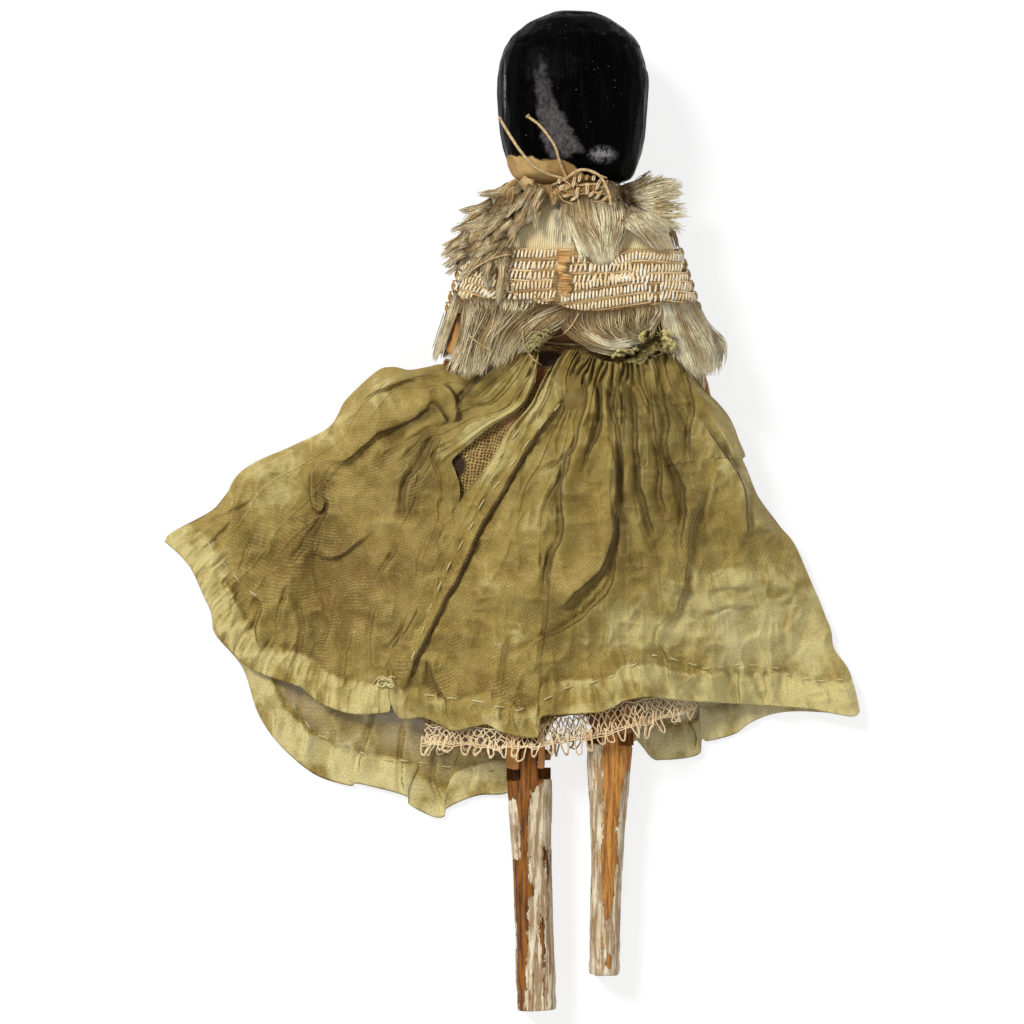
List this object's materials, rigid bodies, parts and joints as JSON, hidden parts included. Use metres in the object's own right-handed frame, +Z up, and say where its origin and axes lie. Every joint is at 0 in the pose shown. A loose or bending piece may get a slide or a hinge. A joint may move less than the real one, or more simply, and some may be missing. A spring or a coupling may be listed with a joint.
{
  "type": "peg wooden doll",
  "caption": "Carved wooden doll with pegged hips, knees, shoulders and elbows, a black painted head, a floss and braid cape and a gathered gauze skirt.",
  "frame": {"origin": "middle of the whole doll's box, on the surface that it lies on face down", "axes": "+Y towards the crown of the head, +X towards the doll's right side, +Z up out of its back"},
  "size_m": [0.0976, 0.1401, 0.0199],
  "materials": {
    "bare_wood": "satin",
    "painted_head": "gloss",
    "worn_paint": "satin",
    "peg_wood": "matte",
    "green_silk": "satin",
    "petticoat_cotton": "matte",
    "cream_lace": "matte",
    "ribbed_silk": "satin",
    "silk_floss": "satin",
    "gimp_braid": "satin",
    "tan_braid": "matte",
    "cream_thread": "matte"
  },
  "bodies": {
    "torso": {"head_and_torso": "painted_head", "shoulder_peg_left": "peg_wood", "shoulder_peg_right": "peg_wood", "hip_peg": "peg_wood", "silk_cape": "ribbed_silk", "braid_band": "gimp_braid", "floss_collar": "silk_floss", "floss_fringe": "silk_floss", "braid_tab": "tan_braid", "petticoat_tie": "cream_thread", "skirt_drawstring": "cream_thread", "neck_tie": "cream_thread", "petticoat": "petticoat_cotton", "petticoat_lace": "cream_lace", "skirt": "green_silk"},
    "upper_arm_left": {"upper_arm_left": "bare_wood", "elbow_peg_left": "peg_wood"},
    "forearm_left": {"forearm_left": "worn_paint"},
    "thigh_left": {"thigh_left": "bare_wood", "knee_peg_left": "peg_wood"},
    "shin_left": {"shin_left": "worn_paint"},
    "upper_arm_right": {"upper_arm_right": "bare_wood", "elbow_peg_right": "peg_wood"},
    "forearm_right": {"forearm_right": "worn_paint"},
    "thigh_right": {"thigh_right": "bare_wood", "knee_peg_right": "peg_wood"},
    "shin_right": {"shin_right": "worn_paint"}
  },
  "joints": [
    {"name": "shoulder_left", "type": "hinge", "parent": "torso", "child": "upper_arm_left", "pos_m": [-0.0014, 0.03906, 0.00995], "axis": [1, 0, 0], "range_deg": [-10, 165], "deforming": ["silk_cape", "braid_band", "floss_collar", "floss_fringe", "skirt", "petticoat"]},
    {"name": "elbow_left", "type": "hinge", "parent": "upper_arm_left", "child": "forearm_left", "pos_m": [-0.00665, 0.02336, 0.00606], "axis": [0.9511, -0.2999, -0.0744], "range_deg": [0, 95]},
    {"name": "hip_left", "type": "hinge", "parent": "torso", "child": "thigh_left", "pos_m": [0.0013, -0.00134, 0.00995], "axis": [1, 0, 0], "range_deg": [0, 82], "deforming": ["petticoat", "petticoat_lace", "skirt"]},
    {"name": "knee_left", "type": "hinge", "parent": "thigh_left", "child": "shin_left", "pos_m": [0.00235, -0.03418, 0.0045], "axis": [-0.9995, -0.031, -0.0051], "range_deg": [-8.5, 78], "deforming": ["petticoat", "petticoat_lace", "skirt"]},
    {"name": "shoulder_right", "type": "hinge", "parent": "torso", "child": "upper_arm_right", "pos_m": [0.0184, 0.03906, 0.00995], "axis": [1, 0, 0], "range_deg": [-10, 165], "deforming": ["silk_cape", "braid_band", "floss_collar", "floss_fringe", "skirt", "petticoat"]},
    {"name": "elbow_right", "type": "hinge", "parent": "upper_arm_right", "child": "forearm_right", "pos_m": [0.02365, 0.02336, 0.00606], "axis": [0.9511, 0.2999, 0.0744], "range_deg": [0, 95]},
    {"name": "hip_right", "type": "hinge", "parent": "torso", "child": "thigh_right", "pos_m": [0.0145, -0.00134, 0.00995], "axis": [1, 0, 0], "range_deg": [0, 82], "deforming": ["petticoat", "petticoat_lace", "skirt"]},
    {"name": "knee_right", "type": "hinge", "parent": "thigh_right", "child": "shin_right", "pos_m": [0.01381, -0.02921, 0.0045], "axis": [-0.9997, 0.024, 0.0047], "range_deg": [-10.1, 78], "deforming": ["petticoat", "petticoat_lace", "skirt"]}
  ]
}
